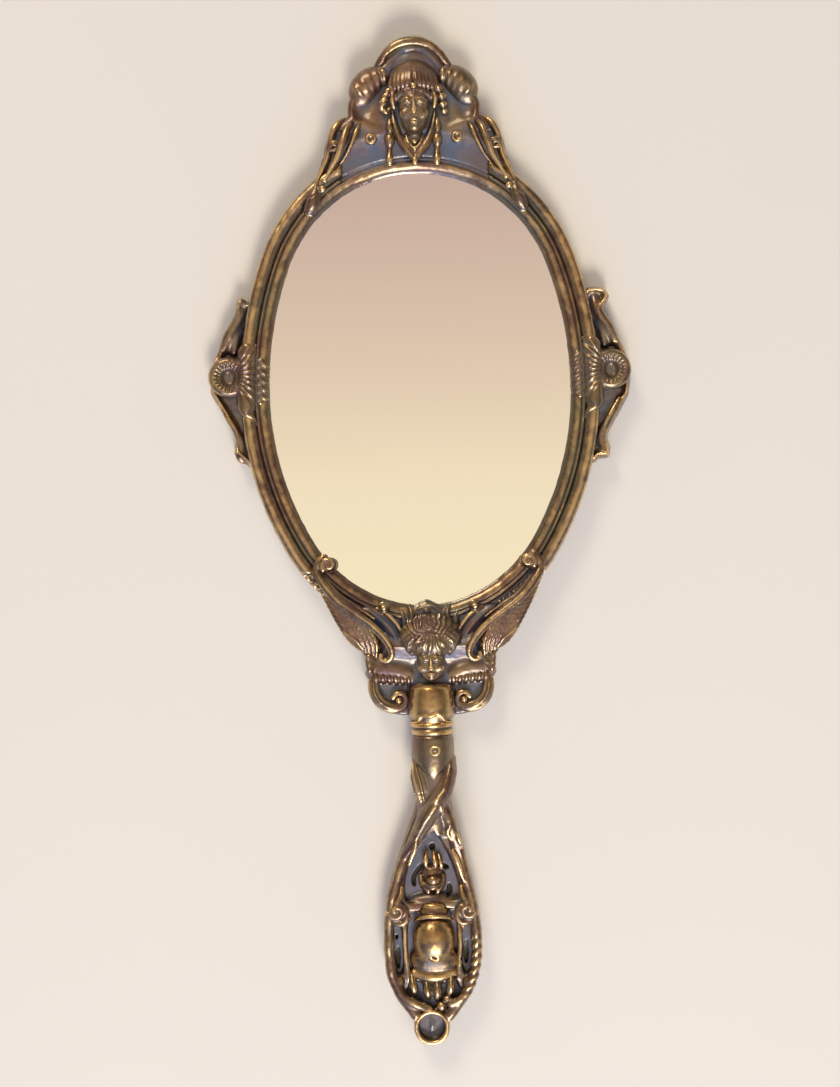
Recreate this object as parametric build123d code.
from build123d import *
from math import cos, hypot, radians, sin
import os

# Ornate cast brass hand mirror, in millimetres. It lies face up: +Z out of the glass, +Y to the crest,
# handle towards -Y. The origin is the middle of the back plate's outer face, behind the oval's centre.

# ---- driving dimensions ----
SIGHT_HALF_WIDTH = 49.6  # the oval opening that shows the glass
SIGHT_HALF_HEIGHT = 71.1
UPPER_ARCS = (20, 40, 48)  # side arc's angle, shoulder arc's end angle, shoulder radius
LOWER_ARCS = (30, 68, 45)
RIM_WIDTH = 9.3  # the moulding, from the sight edge to its outer wall
LIP_Z = 5.2  # underside of the lip that holds the glass
TORUS_Z = 8.5  # centre height of the outer half-round
TORUS_R = 2.1
GLASS_T = 3.0
CARD_T = 1.0
PLATE_T = 1.2
GLASS_GROW = 3.0  # how far the glass reaches under the lip
PLATE_GROW = 6.4
REBATE_GROW = 3.3
PLATE_REBATE_GROW = 6.6
SEAT_Z = 6.5  # the rim is milled down to this under the crest and the bracket
SEAT_GROW = 4.95
CREST_SEAT_GROW = 3.3
CAST_BACK_Z = 1.0  # back of the ornament castings
CAST_FRONT_Z = 9.0  # front of the crest and bracket plates
EAR_TOP_Z = 4.0
AXIS_X = 1.4  # the bracket and neck lean this far to +X of the oval's axis
NECK_Z = 7.6
NECK_R = 7.3
TANG_R = 2.4
TANG_Z = 5.2
SCREW_R = 0.9
SCREW_HEAD_R = 1.7
SCREW_GROW = 4.5  # the back screws' pitch line, outside the sight edge


# ---- the oval, from tangent arcs ----
def half_oval(side_angle, shoulder_angle, shoulder_r):
    """Centre and radius of the side, shoulder and end arcs of a quarter oval, tangent where they meet."""
    ca, sa = cos(radians(side_angle)), sin(radians(side_angle))
    cb, sb = cos(radians(shoulder_angle)), sin(radians(shoulder_angle))
    a, b = SIGHT_HALF_WIDTH, SIGHT_HALF_HEIGHT
    right_1 = -a + shoulder_r * (ca - cb)
    right_2 = b + shoulder_r * (sa - sb)
    det = (ca - 1) * (1 - sb) + cb * sa
    side_r = (right_1 * (1 - sb) + cb * right_2) / det
    end_r = ((ca - 1) * right_2 - sa * right_1) / det
    side = (a - side_r, 0.0)
    shoulder = (side[0] + (side_r - shoulder_r) * ca, (side_r - shoulder_r) * sa)
    end = (0.0, shoulder[1] + (shoulder_r - end_r) * sb)
    return (side, side_r), (shoulder, shoulder_r), (end, end_r)


def oval_arcs():
    """The oval's arcs, anticlockwise from +X, as (centre x, centre y, radius, start angle, sweep)."""
    arcs = []
    for turn, (alpha, beta, shoulder_r) in ((0, UPPER_ARCS), (180, LOWER_ARCS)):
        side, shoulder, end = half_oval(alpha, beta, shoulder_r)
        flip = -1 if turn else 1
        for (centre, r), mirror, start, sweep in (
            (side, 1, 0, alpha),
            (shoulder, 1, alpha, beta - alpha),
            (end, 1, beta, 180 - 2 * beta),
            (shoulder, -1, 180 - beta, beta - alpha),
            (side, -1, 180 - alpha, alpha),
        ):
            arcs.append((flip * mirror * centre[0], flip * centre[1], r, turn + start, sweep))
    return arcs


OVAL = oval_arcs()


def oval_prism(grow, z0, z1):
    """The oval, grown outwards by grow, from z0 to z1."""
    edges = [CenterArc((x, y), r + grow, start, sweep) for x, y, r, start, sweep in OVAL]
    return Pos(0, 0, z0) * extrude(make_face(Wire(edges)), z1 - z0)


def oval_ring(profile):
    """A ring round the oval. profile(r) gives the section's face in XZ, r being the sight edge's radius."""
    ring = None
    for x, y, r, start, sweep in OVAL:
        section = Pos(x, y, 0) * Rot(0, 0, start) * profile(r)
        piece = revolve(section, Axis((x, y, 0), (0, 0, 1)), sweep)
        ring = piece if ring is None else ring + piece
    return ring


def oval_point(angle, grow):
    """The oval's point whose outward normal is at this angle, grown by grow."""
    for x, y, r, start, sweep in OVAL:
        if start <= angle % 360 <= start + sweep:
            return x + (r + grow) * cos(radians(angle)), y + (r + grow) * sin(radians(angle))


# ---- shapes that several pieces use ----
def joined(shapes):
    total = None
    for shape in shapes:
        total = shape if total is None else total + shape
    return total


def largest(shape):
    """The biggest solid, without the slivers that a cut leaves beside it."""
    return max(shape.solids(), key=lambda solid: solid.volume)


def mirrored(points):
    """A closed outline's two sides, from its right half."""
    return list(points), [(-x, y) for x, y in reversed(points)]


def prism(face, z0, z1):
    return Pos(0, 0, z0) * extrude(face, z1 - z0)


def polygon(points):
    return make_face(Polyline(*points, close=True))


def filled(*curves):
    """The face inside a closed run of curves."""
    return make_face(Wire([edge for curve in curves for edge in curve.edges()]))


def smooth_outline(right, left):
    """A face between two splines, joined by straight lines at their ends."""
    curves = [Spline(*right), Spline(*left)]
    for start, end in ((right[-1], left[0]), (left[-1], right[0])):
        if hypot(end[0] - start[0], end[1] - start[1]) > 1e-6:
            curves.append(Line(start, end))
    return filled(*curves)


def ribbon(path, widths, z0, z1):
    """A strap whose middle follows path, with these widths, from z0 to z1."""
    left, right = [], []
    for i, ((x, y), width) in enumerate(zip(path, widths)):
        (x0, y0), (x1, y1) = path[max(i - 1, 0)], path[min(i + 1, len(path) - 1)]
        length = hypot(x1 - x0, y1 - y0)
        nx, ny = (y0 - y1) / length, (x1 - x0) / length
        left.append((x + nx * width / 2, y + ny * width / 2))
        right.append((x - nx * width / 2, y - ny * width / 2))
    return prism(smooth_outline(right, list(reversed(left))), z0, z1)


def button(x, y, r, z0, z1, rounding):
    """A round boss with a rounded front edge."""
    shape = Pos(x, y, (z0 + z1) / 2) * Cylinder(r, z1 - z0)
    return fillet(shape.edges().group_by(Axis.Z)[-1], rounding)


def oval_boss(x, y, rx, ry, z0, z1, rounding):
    """An elliptical boss with a rounded front edge."""
    shape = Pos(x, y, z0) * extrude(Ellipse(rx, ry), z1 - z0)
    return fillet(shape.edges().group_by(Axis.Z)[-1], rounding)


def flip_x(shape):
    return mirror(shape, Plane.YZ)


def about_axis(shape):
    """Moves a shape made about X = 0 onto the bracket's own axis."""
    return Pos(AXIS_X, 0, 0) * shape


# ---- the rim and what it holds ----
def rim_section(r):
    """The moulding: lip, quarter-round, fillet bead and outer half-round, with both rear rebates."""
    lip_top = 5.9
    band_top = (3.1, 8.2)
    bead = (3.4, 8.0), (4.1, 8.6), (4.8, 8.0)
    torus_in, torus_out = (RIM_WIDTH - 2 * TORUS_R, TORUS_Z), (RIM_WIDTH, TORUS_Z)
    torus_top = (RIM_WIDTH - TORUS_R, TORUS_Z + TORUS_R)
    edges = [
        Line((0, LIP_Z), (0, lip_top)),
        ThreePointArc((0, lip_top), (1.1, 7.5), band_top),
        Line(band_top, (3.1, 7.9)),
        Line((3.1, 7.9), bead[0]),
        ThreePointArc(*bead),
        Line(bead[2], torus_in),
        ThreePointArc(torus_in, torus_top, torus_out),
        Line(torus_out, (RIM_WIDTH, 0.8)),
        Line((RIM_WIDTH, 0.8), (RIM_WIDTH - 0.8, 0)),
        Line((RIM_WIDTH - 0.8, 0), (PLATE_REBATE_GROW, 0)),
        Line((PLATE_REBATE_GROW, 0), (PLATE_REBATE_GROW, PLATE_T)),
        Line((PLATE_REBATE_GROW, PLATE_T), (REBATE_GROW, PLATE_T)),
        Line((REBATE_GROW, PLATE_T), (REBATE_GROW, LIP_Z)),
        Line((REBATE_GROW, LIP_Z), (0, LIP_Z)),
    ]
    return Plane.XZ * Pos(r, 0) * make_face(Wire(edges))


SCREW_ANGLES = (12, 78, 150, 210, 282, 348)
SCREW_TIP_Z = 4.8
CREST_RIVETS = ((-14, 81.8), (14, 81.8))
RIVET_R = 1.1
BRACKET_SCREWS = ((-8.5, -84.5), (8.5, -84.5))
BRACKET_SCREW_TIP_Z = 8.0
CREST_SEAT = ((-22, 55), (22, 55), (30.5, 80), (30.5, 100), (-30.5, 100), (-30.5, 80))
BRACKET_SEAT = ((-44, -58.5), (44, -58.5), (44, -100), (-44, -100))


def screw_hole(x, y, z0, z1):
    return Pos(x, y, (z0 + z1) / 2) * Cylinder(SCREW_R, z1 - z0)


def crest_ear():
    outline = ((-18, 74), (18, 74), (18, 84), (15, 87), (-15, 87), (-18, 84))
    return prism(polygon(outline), CAST_BACK_Z, EAR_TOP_Z)


def bracket_ear():
    outline = ((-13, -70), (13, -70), (13, -85), (10, -88), (-10, -88), (-13, -85))
    return about_axis(prism(polygon(outline), CAST_BACK_Z, EAR_TOP_Z))


def rim_moulding():
    ring = oval_ring(rim_section)
    top = 20.0
    crest_seat = prism(polygon(CREST_SEAT), SEAT_Z, top) - oval_prism(CREST_SEAT_GROW, SEAT_Z, top)
    bracket_seat = prism(polygon(BRACKET_SEAT), SEAT_Z, top) - oval_prism(SEAT_GROW, SEAT_Z, top)
    ring = ring - crest_seat - bracket_seat
    ears = (crest_ear() + bracket_ear()) - oval_prism(RIM_WIDTH - 1.5, 0, EAR_TOP_Z)
    ring = ring + ears
    for angle in SCREW_ANGLES:
        x, y = oval_point(angle, SCREW_GROW)
        ring = ring - screw_hole(x, y, 0, SCREW_TIP_Z)
    for x, y in CREST_RIVETS:
        ring = ring - Pos(x, y, EAR_TOP_Z / 2) * Cylinder(RIVET_R, EAR_TOP_Z)
    for x, y in BRACKET_SCREWS:
        ring = ring - about_axis(screw_hole(x, y, 0, EAR_TOP_Z))
        ring = ring - about_axis(countersink(x, y, CAST_BACK_Z))
    return ring


def mirror_glass():
    glass = oval_prism(GLASS_GROW, LIP_Z - GLASS_T, LIP_Z)
    return chamfer(glass.edges().group_by(Axis.Z)[-1], 0.3)


def backing_card():
    return oval_prism(GLASS_GROW, PLATE_T, PLATE_T + CARD_T)


def countersink(x, y, z):
    """The cone of a screw's head, its face at z, opening towards -Z."""
    depth = SCREW_HEAD_R - SCREW_R
    return Pos(x, y, z + depth / 2) * Cone(SCREW_HEAD_R, SCREW_R, depth)


def back_screw(x, y, z0, z1):
    """A slotted countersunk screw driven from the back, its head's face at z0."""
    slot = Pos(x, y, z0 + 0.2) * Box(2 * SCREW_HEAD_R, 0.5, 0.4)
    return countersink(x, y, z0) + screw_hole(x, y, z0, z1) - slot


def back_plate():
    plate = oval_prism(PLATE_GROW, 0, PLATE_T)
    groove_w, groove_d = 0.8, 0.3
    for grow in (0.5, -1.5):
        plate = plate - (oval_prism(grow, 0, groove_d) - oval_prism(grow - groove_w, 0, groove_d))
    for angle in SCREW_ANGLES:
        x, y = oval_point(angle, SCREW_GROW)
        plate = plate - screw_hole(x, y, 0, PLATE_T) - countersink(x, y, 0)
    return plate


def back_plate_screws():
    places = [oval_point(angle, SCREW_GROW) for angle in SCREW_ANGLES]
    return [back_screw(x, y, 0, SCREW_TIP_Z) for x, y in places]


# ---- the crest ----
CREST_HALF = (
    (31.0, 74.0),
    (28.2, 80.0),
    (25.8, 85.5),
    (22.3, 89.0),
    (21.2, 93.5),
    (18.8, 99.0),
    (14.8, 103.6),
    (10.6, 106.0),
    (8.0, 110.0),
    (4.4, 113.2),
    (0.0, 114.2),
)


def crest_plate(rim):
    right, left = mirrored(CREST_HALF)
    foot = ((22.5, 60.0), (31.0, 74.0))
    base = Polyline(left[-1], (-foot[0][0], foot[0][1]), foot[0], foot[1])
    plate = prism(filled(Spline(*right), Spline(*left), base), CAST_BACK_Z, CAST_FRONT_Z)
    plate = plate - oval_prism(CREST_SEAT_GROW, 0, CAST_FRONT_Z) - oval_prism(RIM_WIDTH, 0, SEAT_Z) - rim
    for x, y in CREST_RIVETS:
        plate = plate - Pos(x, y, CAST_FRONT_Z / 2) * Cylinder(RIVET_R, CAST_FRONT_Z)
    return largest(plate)


def crest_hood():
    """The arched hood over the mask's head."""
    outer = Ellipse(9.4, 10.4)
    inner = Ellipse(6.4, 6.0)
    arch = Pos(0, 103.2) * outer - Pos(0, 101.8) * inner - Pos(0, 95.0) * Rectangle(30, 22)
    return prism(arch, CAST_FRONT_Z, 11.5)


def crest_mask():
    """Face, hair and neck of the mask, up to the hood."""
    hair = oval_boss(0, 100.5, 8.6, 5.3, CAST_FRONT_Z, 13.5, 2.0)
    face = oval_boss(0, 90.0, 5.8, 8.2, CAST_FRONT_Z, 15.5, 2.5)
    neck = prism(polygon(((-2.6, 74.6), (2.6, 74.6), (2.2, 84), (-2.2, 84))), CAST_FRONT_Z, 11.0)
    ringlets = [oval_boss(x, 94.0, 1.9, 5.6, CAST_FRONT_Z, 12.0, 0.5) for x in (-7.4, 7.4)]
    return joined([hair, face, neck] + ringlets)


def crest_curl(side):
    return oval_boss(side * 14.6, 98.6, 3.6, 4.6, CAST_FRONT_Z, 12.5, 1.5)


def crest_baluster(x):
    """One of the two little columns beside the mask's neck."""
    shaft = Pos(x, 80.2, CAST_FRONT_Z) * Rot(90, 0, 0) * Cylinder(1.2, 13.0)
    knop = Pos(x, 80.5, CAST_FRONT_Z) * Sphere(1.9)
    foot = Pos(x, 74.6, CAST_FRONT_Z) * Rot(90, 0, 0) * Cylinder(1.6, 1.6)
    above = Pos(x, 80, CAST_FRONT_Z + 10) * Box(20, 40, 20)
    return (shaft + knop + foot) & above


def crest_scroll(rim):
    """The right-hand acanthus strand: a volute, then a stem that ends in beads over the rim."""
    path = ((22.6, 86.0), (22.9, 79.5), (26.2, 73.4), (29.6, 68.0), (33.2, 61.8))
    stem = ribbon(path, (4.4, 5.6, 4.2, 3.2, 3.2), CAST_FRONT_Z, 12.0)
    volute = button(26.0, 80.8, 2.2, CAST_FRONT_Z, 11.5, 0.8)
    return stem + volute - rim


def crest_rivet(x, y):
    head = button(x, y, 1.9, CAST_FRONT_Z, 10.3, 0.6)
    shank = Pos(x, y, (CAST_BACK_Z + CAST_FRONT_Z) / 2) * Cylinder(RIVET_R, CAST_FRONT_Z - CAST_BACK_Z)
    return head + shank


# ---- the side ornaments ----
LEAF_OUTER = (
    (57.6, 31.8),
    (61.8, 31.2),
    (62.2, 28.8),
    (60.3, 24.2),
    (65.0, 17.0),
    (68.4, 10.0),
    (69.8, 3.0),
    (68.2, -3.0),
    (64.4, -10.4),
    (61.6, -16.0),
    (62.2, -20.6),
    (60.2, -24.0),
    (56.4, -25.4),
)
LEAF_TOP_Z = 7.5
SHELL_TOP_Z = 12.6
SHELL_CENTRE = (63.2, 4.6)
SHELL_R = 6.2
FLUTES = 7
FLUTE_R = 0.7
FLUTE_STEP = 11.0  # degrees between the grooves that fan out from the rosette


def side_leaf(rim):
    """The right-hand scrolled bracket beside the rim, as one plate with hooked ends."""
    inner = Line(LEAF_OUTER[-1], LEAF_OUTER[0])
    plate = prism(filled(Spline(*LEAF_OUTER), inner), CAST_BACK_Z, LEAF_TOP_Z)
    web = prism(Pos(55, 3) * Rectangle(14, 52), CAST_BACK_Z, LEAF_TOP_Z)
    return plate + web - rim - oval_prism(RIM_WIDTH, 0, 20)


def side_shell(rim):
    """The right-hand shell: a dished rosette with a fluted wrap over the rim's moulding."""
    x, y = SHELL_CENTRE
    rosette = button(x, y, SHELL_R, LEAF_TOP_Z, 11.5, 1.2)
    dish = Pos(x, y, 11.5) * (Cylinder(SHELL_R - 1.4, 3.0) - Cylinder(2.1, 3.0))
    inner = ((58.4, -7.4), (50.2, -6.2), (49.4, 3.0), (50.6, 11.6))
    outer = ((59.0, 13.6), (60.5, 4.0), (58.4, -7.4))
    wrap = prism(smooth_outline(inner, outer), LEAF_TOP_Z, SHELL_TOP_Z)
    shell = rosette + wrap - dish
    for i in range(FLUTES):
        angle = 180 + (i - (FLUTES - 1) / 2) * FLUTE_STEP
        start, end = 7.4, 15.0
        middle = x + (start + end) / 2 * cos(radians(angle)), y + (start + end) / 2 * sin(radians(angle))
        flute = Rot(0, 0, angle) * Rot(0, 90, 0) * Cylinder(FLUTE_R, end - start)
        shell = shell - Pos(*middle, SHELL_TOP_Z) * flute
    return shell - rim


# ---- the bracket below the oval ----
BRACKET_HALF = (
    (7.4, -107.4),
    (11.4, -107.2),
    (15.0, -105.4),
    (18.2, -102.6),
    (19.8, -99.0),
    (19.8, -94.6),
    (20.8, -90.4),
    (23.0, -86.4),
    (27.6, -80.8),
    (33.0, -70.6),
    (38.4, -60.0),
)
STRAP_PATH = (
    (36.6, -59.0),
    (34.6, -62.6),
    (30.2, -67.6),
    (24.4, -72.6),
    (18.4, -78.0),
    (14.4, -84.0),
    (14.6, -88.0),
)
STRAP_WIDTHS = (3.6, 4.0, 3.6, 3.4, 3.2, 2.8, 3.2)


def neck_space():
    """The space that the neck's sleeve takes out of the bracket."""
    length = 20.0
    return Pos(AXIS_X, NECK_TOP_Y - length / 2, NECK_Z) * Box(2 * NECK_R + 1.0, length, 30)


def bracket_plate(rim, tang):
    right, left = mirrored(BRACKET_HALF)
    top = Polyline(left[0], (-34.0, -52.0), (34.0, -52.0), right[-1])
    outline = filled(Spline(*right), Spline(*left), top, Line(left[-1], right[0]))
    plate = about_axis(prism(outline, CAST_BACK_Z, CAST_FRONT_Z))
    plate = plate - oval_prism(SEAT_GROW, 0, 20) - oval_prism(RIM_WIDTH, 0, SEAT_Z) - rim - tang
    plate = plate - neck_space()
    for x, y in BRACKET_SCREWS:
        plate = plate - about_axis(screw_hole(x, y, 0, BRACKET_SCREW_TIP_Z) + countersink(x, y, CAST_BACK_Z))
    return largest(plate)


def cherub_head():
    hair = oval_boss(0, -81.8, 10.2, 8.6, CAST_FRONT_Z, 14.5, 3.0)
    face = oval_boss(0, -89.4, 5.0, 6.2, CAST_FRONT_Z, 16.5, 3.0)
    return about_axis(hair + face) - neck_space()


def strap(rim):
    """The right-hand strap: a volute on the rim, then the leading edge of the wing."""
    band = ribbon(STRAP_PATH, STRAP_WIDTHS, CAST_FRONT_Z, 11.8)
    volute = button(32.2, -57.6, 3.4, CAST_FRONT_Z, 12.4, 1.4)
    return about_axis(band + volute) - rim


def wing(others):
    """The right-hand wing, feathers towards the outer edge."""
    outer = ((22.4, -86.4), (27.4, -79.6), (32.2, -71.0), (36.6, -62.6))
    inner = ((34.6, -64.4), (29.8, -70.2), (24.0, -75.4), (19.2, -81.0), (17.4, -86.4))
    return about_axis(prism(smooth_outline(outer, inner), CAST_FRONT_Z, 10.6)) - others


def bracket_leaf(rim, others):
    """The right-hand pear-shaped leaf between the strap and the rim, with the ball at its tip."""
    outline = ((22.8, -69.4), (17.2, -71.8), (11.4, -76.0), (8.6, -80.8), (10.6, -83.6), (15.4, -78.6))
    leaf = prism(make_face(Spline(*outline, periodic=True)), CAST_FRONT_Z, 11.4)
    ball = button(14.9, -71.5, 2.0, CAST_FRONT_Z, 12.0, 1.2)
    return about_axis(leaf + ball) - rim - others


def bracket_scroll(others):
    """The right-hand lower scroll with its fringe."""
    path = ((9.4, -95.0), (15.6, -93.6), (18.6, -97.4), (16.4, -103.2), (11.6, -104.8))
    return about_axis(ribbon(path, (3.0, 4.0, 3.6, 3.4, 3.0), CAST_FRONT_Z, 12.0)) - others - neck_space()


def bracket_screws():
    return [about_axis(back_screw(x, y, CAST_BACK_Z, BRACKET_SCREW_TIP_Z)) for x, y in BRACKET_SCREWS]


# ---- the neck and the handle ----
NECK_TOP_Y, SLEEVE_END_Y, COLLAR_END_Y = -97.2, -109.0, -113.6
TANG_TOP_Y, TANG_END_Y = -88.6, -128.0
PIN_X, PIN_Y = 1.9, -117.9
SHAFT_HALF = (
    (7.1, -113.6),
    (7.3, -121.0),
    (7.4, -128.0),
    (6.8, -138.0),
    (8.4, -146.5),
    (11.2, -154.6),
    (13.4, -161.0),
    (14.8, -167.0),
    (16.0, -175.4),
    (16.3, -184.0),
    (15.4, -191.0),
    (13.6, -196.2),
    (10.8, -201.2),
    (6.6, -206.6),
)
LOBE_BACK_Z, LOBE_FRONT_Z, RECESS_Z = 0.0, 11.0, 6.0
WINDOW_HALF = (
    (0.0, -144.6),
    (3.4, -149.8),
    (6.4, -156.0),
    (9.2, -163.0),
    (8.6, -167.2),
    (5.4, -169.2),
    (0.0, -169.6),
)
# openings through the lobe, as (centre x, centre y, width, height)
PIERCINGS = (
    (-4.9, -161.0, 1.4, 6.0),
    (4.9, -158.0, 1.6, 3.0),
    (5.6, -165.2, 1.4, 3.4),
    (0.6, -151.0, 1.8, 1.8),
    (-11.3, -186.9, 1.6, 6.6),
    (11.0, -185.7, 1.6, 6.6),
)
LOBE_PANEL = (0.0, -184.6, 13.2, 13.4)  # the sunk oval behind the vase: centre and half sizes
END_X, END_Y = -0.6, -209.4
END_R = 6.1


def along_y(x, z, r, y0, y1):
    """A round bar along Y."""
    return Pos(x, (y0 + y1) / 2, z) * Rot(90, 0, 0) * Cylinder(r, abs(y1 - y0))


def handle_tang():
    return along_y(AXIS_X, TANG_Z, TANG_R, TANG_TOP_Y, TANG_END_Y) - pin_hole()


def pin_hole():
    return Pos(PIN_X, PIN_Y, 8.5) * Cylinder(RIVET_R, 13.0)


def neck_sleeve(tang):
    """The swelling sleeve between the bracket and the collar."""
    side = Spline((7.2, NECK_TOP_Y), (7.7, -101.0), (7.7, -104.6), (7.0, SLEEVE_END_Y))
    top = Line((0, NECK_TOP_Y), (7.2, NECK_TOP_Y))
    foot = Line((7.0, SLEEVE_END_Y), (0, SLEEVE_END_Y))
    section = filled(top, side, foot, Line((0, SLEEVE_END_Y), (0, NECK_TOP_Y)))
    sleeve = revolve(section, Axis.Y, 360)
    return Pos(AXIS_X, 0, NECK_Z) * sleeve - tang - Pos(0, -100, -5) * Box(60, 60, 10)


def neck_collar(tang):
    """Two rounded rings that hide the joint between the sleeve and the shaft."""
    middle = (SLEEVE_END_Y + COLLAR_END_Y) / 2
    groove = middle - 0.3, middle + 0.3
    collar = along_y(AXIS_X, NECK_Z, NECK_R, SLEEVE_END_Y, COLLAR_END_Y)
    cut = along_y(AXIS_X, NECK_Z, NECK_R + 1, *groove) - along_y(AXIS_X, NECK_Z, NECK_R - 0.4, *groove)
    return collar - cut - tang


def handle_shaft(tang, pin):
    """Round under the collar, then flaring into a pierced lobe with a sunk front."""
    right = [(x + shaft_x(y), y) for x, y in SHAFT_HALF]
    left = [(shaft_x(y) - x, y) for x, y in reversed(SHAFT_HALF)]
    lobe = prism(smooth_outline(list(reversed(right)), list(reversed(left))), LOBE_BACK_Z, LOBE_FRONT_Z)
    lobe = fillet(lobe.edges().group_by(Axis.Z)[-1] + lobe.edges().group_by(Axis.Z)[0], 1.6)
    round_part = along_y(AXIS_X, NECK_Z, NECK_R, COLLAR_END_Y, -140.0)
    square_part = Pos(AXIS_X, -124.0, 0) * Box(40, 22, 60)
    shaft = (lobe - square_part) + round_part
    shaft = shaft - Pos(0, -120, -10) * Box(60, 60, 20) - Pos(END_X, END_Y, 5) * Cylinder(END_R, 30)
    window, window_left = mirrored(tuple(reversed(WINDOW_HALF)))
    shaft = shaft - prism(smooth_outline(window, window_left), RECESS_Z, 20)
    panel = Pos(*LOBE_PANEL[:2]) * Ellipse(*LOBE_PANEL[2:])
    shaft = shaft - prism(panel, RECESS_Z, 20)
    for x, y, w, h in PIERCINGS:
        shaft = shaft - Pos(x, y, 5) * Box(w, h, 30)
    return shaft - tang - pin


def shaft_x(y):
    """Where the handle's axis runs: on the bracket's axis at the neck, back on the oval's at the lobe."""
    lean = (y + 160.0) / 20.0
    return AXIS_X * min(max(lean, 0.0), 1.0)


def handle_pin(shaft):
    """The pin through shaft and tang, with a round head in front."""
    head = Pos(PIN_X, PIN_Y, 14.9) * Cylinder(1.8, 1.4)
    return (head - shaft) + Pos(PIN_X, PIN_Y, 8.5) * Cylinder(RIVET_R, 13.0)


def handle_knob():
    return button(0.4, -160.6, 2.6, RECESS_Z, 11.5, 1.2)


def handle_vase():
    body = oval_boss(0.4, -182.2, 6.9, 7.6, RECESS_Z, 13.2, 3.2)
    foot = oval_boss(0.4, -190.6, 6.2, 2.6, RECESS_Z, 9.6, 0.8) - body
    mouth = oval_boss(0.3, -172.4, 4.4, 2.4, RECESS_Z, 11.0, 1.0)
    return body + foot + mouth


def handle_volute(side, others):
    volute = button(side * 11.6, -171.6, 3.6, LOBE_FRONT_Z, 13.4, 1.2)
    stem = button(side * 11.6, -171.6, 2.4, RECESS_Z, LOBE_FRONT_Z, 0.2)
    return volute + stem - others


def handle_leaf(others):
    leaf = oval_boss(0.2, -198.0, 6.4, 4.0, RECESS_Z, 11.8, 1.6)
    return leaf - others


def end_cup():
    """The dished round end of the handle, closed at the back."""
    cup = Pos(END_X, END_Y, 5.6) * Cylinder(END_R, 8.0)
    cup = fillet(cup.edges().group_by(Axis.Z)[-1] + cup.edges().group_by(Axis.Z)[0], 0.9)
    dish = Pos(END_X, END_Y, 8.6) * Cylinder(4.2, 4.0)
    return cup - dish


# ---- everything, written out ----
def main():
    rim = rim_moulding()
    tang = handle_tang()
    pin = pin_hole()
    parts = {
        "rim_moulding": rim,
        "mirror_glass": mirror_glass(),
        "backing_card": backing_card(),
        "back_plate": back_plate(),
        "back_plate_screws": Compound(children=back_plate_screws()),
        "crest_plate": crest_plate(rim),
        "crest_hood": crest_hood(),
        "crest_rivets": Compound(children=[crest_rivet(x, y) for x, y in CREST_RIVETS]),
        "crest_balusters": Compound(children=[crest_baluster(x) for x in (-6.4, 6.4)]),
    }
    parts["crest_mask"] = crest_mask() - parts["crest_hood"] - parts["crest_balusters"]
    scroll = crest_scroll(rim)
    shell = side_shell(rim)
    leaf = side_leaf(rim)
    cherub = cherub_head()
    right_strap = strap(rim)
    band = right_strap + cherub
    right_wing = wing(band)
    right_scroll = bracket_scroll(band + right_wing)
    right_leaf = bracket_leaf(rim, band + right_wing)
    parts["cherub_head"] = cherub

    def across(shape, axis_x=0.0):
        return Pos(axis_x, 0, 0) * flip_x(Pos(-axis_x, 0, 0) * shape)

    parts["crest_curl_right"] = crest_curl(1)
    parts["crest_curl_left"] = crest_curl(-1)
    for name, right, axis_x in (
        ("crest_scroll", scroll, 0.0),
        ("side_shell", shell, 0.0),
        ("side_leaf", leaf, 0.0),
        ("wing_strap", right_strap, AXIS_X),
        ("wing", right_wing, AXIS_X),
        ("bracket_scroll", right_scroll, AXIS_X),
        ("bracket_leaf", right_leaf, AXIS_X),
    ):
        parts[name + "_right"] = right
        parts[name + "_left"] = across(right, axis_x) - rim
    parts["bracket_plate"] = bracket_plate(rim, tang)
    parts["bracket_screws"] = Compound(children=bracket_screws())
    parts["handle_tang"] = tang
    parts["neck_sleeve"] = neck_sleeve(tang)
    parts["neck_collar"] = neck_collar(tang)
    shaft = handle_shaft(tang, pin)
    parts["handle_shaft"] = shaft
    parts["handle_pin"] = handle_pin(shaft)
    parts["handle_knob"] = handle_knob() - shaft
    vase = handle_vase() - shaft
    parts["handle_vase"] = vase
    parts["handle_volute_right"] = handle_volute(1, shaft + vase)
    parts["handle_volute_left"] = handle_volute(-1, shaft + vase)
    parts["handle_leaf"] = handle_leaf(shaft + vase)
    parts["end_cup"] = end_cup()
    os.makedirs("parts", exist_ok=True)
    for name, shape in parts.items():
        export_step(shape, f"parts/{name}.step")


main()
